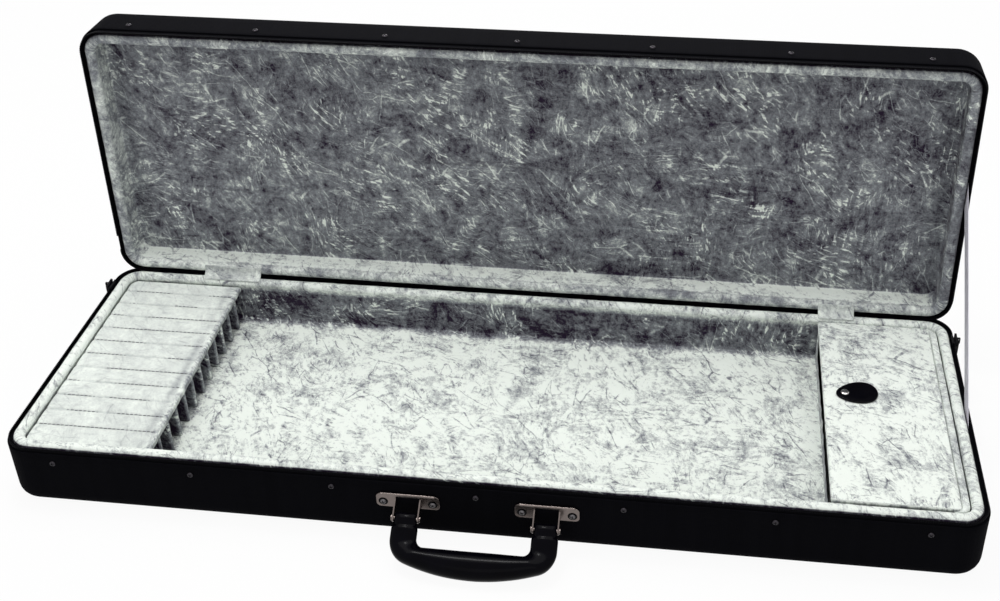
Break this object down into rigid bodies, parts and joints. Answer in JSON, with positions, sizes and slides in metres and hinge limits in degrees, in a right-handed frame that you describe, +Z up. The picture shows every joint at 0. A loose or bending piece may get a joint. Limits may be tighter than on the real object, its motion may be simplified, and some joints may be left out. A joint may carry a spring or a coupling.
{
  "type": "bow case",
  "caption": "Open rectangular case for string-instrument bows: zipped fabric-covered halves, plush lining with rolled rims, slotted tip block, notched frog block with flap, and front handle.",
  "frame": {"origin": "on the surface under the base, midway along the case and midway across the base", "axes": "+X along the case to the frog block, +Y from the handle side to the hinge side, +Z up"},
  "size_m": [0.8274, 0.371, 0.3257],
  "materials": {
    "cover_fabric": "matte woven",
    "plywood": "raw",
    "plush": "crushed velvet",
    "plush_light": "crushed velvet",
    "zip_teeth": "satin",
    "zinc_steel": "polished",
    "nickel": "polished",
    "handle_plastic": "gloss",
    "tab_leather": "satin",
    "stay_ribbon": "woven",
    "black_metal": "enamel"
  },
  "bodies": {
    "base": {"base_cover": "cover_fabric", "base_shell": "plywood", "base_lining": "plush", "base_zip_chain": "zip_teeth", "base_cover_screw_1": "zinc_steel", "base_cover_screw_2": "zinc_steel", "base_cover_screw_3": "zinc_steel", "base_cover_screw_4": "zinc_steel", "base_cover_screw_5": "zinc_steel", "base_cover_screw_6": "zinc_steel", "base_cover_screw_7": "zinc_steel", "hinge_base_leaf_left": "zinc_steel", "hinge_base_leaf_right": "zinc_steel", "hinge_flap_left": "plush", "hinge_flap_right": "plush", "spine_cover": "cover_fabric", "lid_stay": "stay_ribbon", "tip_slab": "plush", "tip_divider_01": "plush_light", "tip_divider_02": "plush_light", "tip_divider_03": "plush_light", "tip_divider_04": "plush_light", "tip_divider_05": "plush_light", "tip_divider_06": "plush_light", "tip_divider_07": "plush_light", "tip_divider_08": "plush_light", "tip_divider_09": "plush_light", "tip_divider_10": "plush_light", "tip_divider_11": "plush_light", "frog_rest": "plush", "frog_ledge": "plush", "handle_bracket_left": "nickel", "handle_bracket_right": "nickel", "handle_pin_left": "nickel", "handle_pin_right": "nickel", "bracket_screw_1": "zinc_steel", "bracket_screw_2": "zinc_steel", "bracket_screw_3": "zinc_steel", "bracket_screw_4": "zinc_steel"},
    "lid": {"lid_cover": "cover_fabric", "lid_shell": "plywood", "lid_lining": "plush", "lid_zip_chain": "zip_teeth", "hinge_lid_leaf_left": "zinc_steel", "hinge_lid_leaf_right": "zinc_steel", "lid_cover_screw_1": "zinc_steel", "lid_cover_screw_2": "zinc_steel", "lid_cover_screw_3": "zinc_steel", "lid_cover_screw_4": "zinc_steel", "lid_cover_screw_5": "zinc_steel", "lid_cover_screw_6": "zinc_steel", "lid_cover_screw_7": "zinc_steel"},
    "flap": {"frog_flap": "plush", "tab_rivet": "nickel"},
    "tab": {"pull_tab": "tab_leather"},
    "handle": {"handle": "handle_plastic"},
    "slider_left": {"zip_slider_left": "black_metal"},
    "slider_right": {"zip_slider_right": "black_metal"},
    "pull_left": {"zip_pull_left": "black_metal"},
    "pull_right": {"zip_pull_right": "black_metal"}
  },
  "joints": [
    {"name": "lid_hinge", "type": "hinge", "parent": "base", "child": "lid", "pos_m": [0, 0.1281, 0.064], "axis": [-1, 0, 0], "range_deg": [-92, 0], "deforming": ["lid_stay", "spine_cover", "hinge_flap_left", "hinge_flap_right"]},
    {"name": "flap_hinge", "type": "hinge", "parent": "base", "child": "flap", "pos_m": [0.388, 0, 0.061], "axis": [0, 1, 0], "range_deg": [0, 95]},
    {"name": "tab_swivel", "type": "hinge", "parent": "flap", "child": "tab", "pos_m": [0.3035, 0.0133, 0.062], "axis": [0, 0, 1], "range_deg": [0, 180]},
    {"name": "handle_hinge", "type": "hinge", "parent": "base", "child": "handle", "pos_m": [0.001, -0.1445, 0.032], "axis": [-1, 0, 0], "range_deg": [0, 127]},
    {"name": "zip_left_slide", "type": "slide", "parent": "base", "child": "slider_left", "axis": [0, -1, 0], "range_m": [0, 0.18]},
    {"name": "zip_right_slide", "type": "slide", "parent": "base", "child": "slider_right", "axis": [0, -1, 0], "range_m": [0, 0.18]},
    {"name": "pull_left_hinge", "type": "hinge", "parent": "slider_left", "child": "pull_left", "pos_m": [-0.4119, 0.098, 0.064], "axis": [0, 1, 0], "range_deg": [0, 90]},
    {"name": "pull_right_hinge", "type": "hinge", "parent": "slider_right", "child": "pull_right", "pos_m": [0.4119, 0.098, 0.064], "axis": [0, -1, 0], "range_deg": [0, 90]}
  ]
}
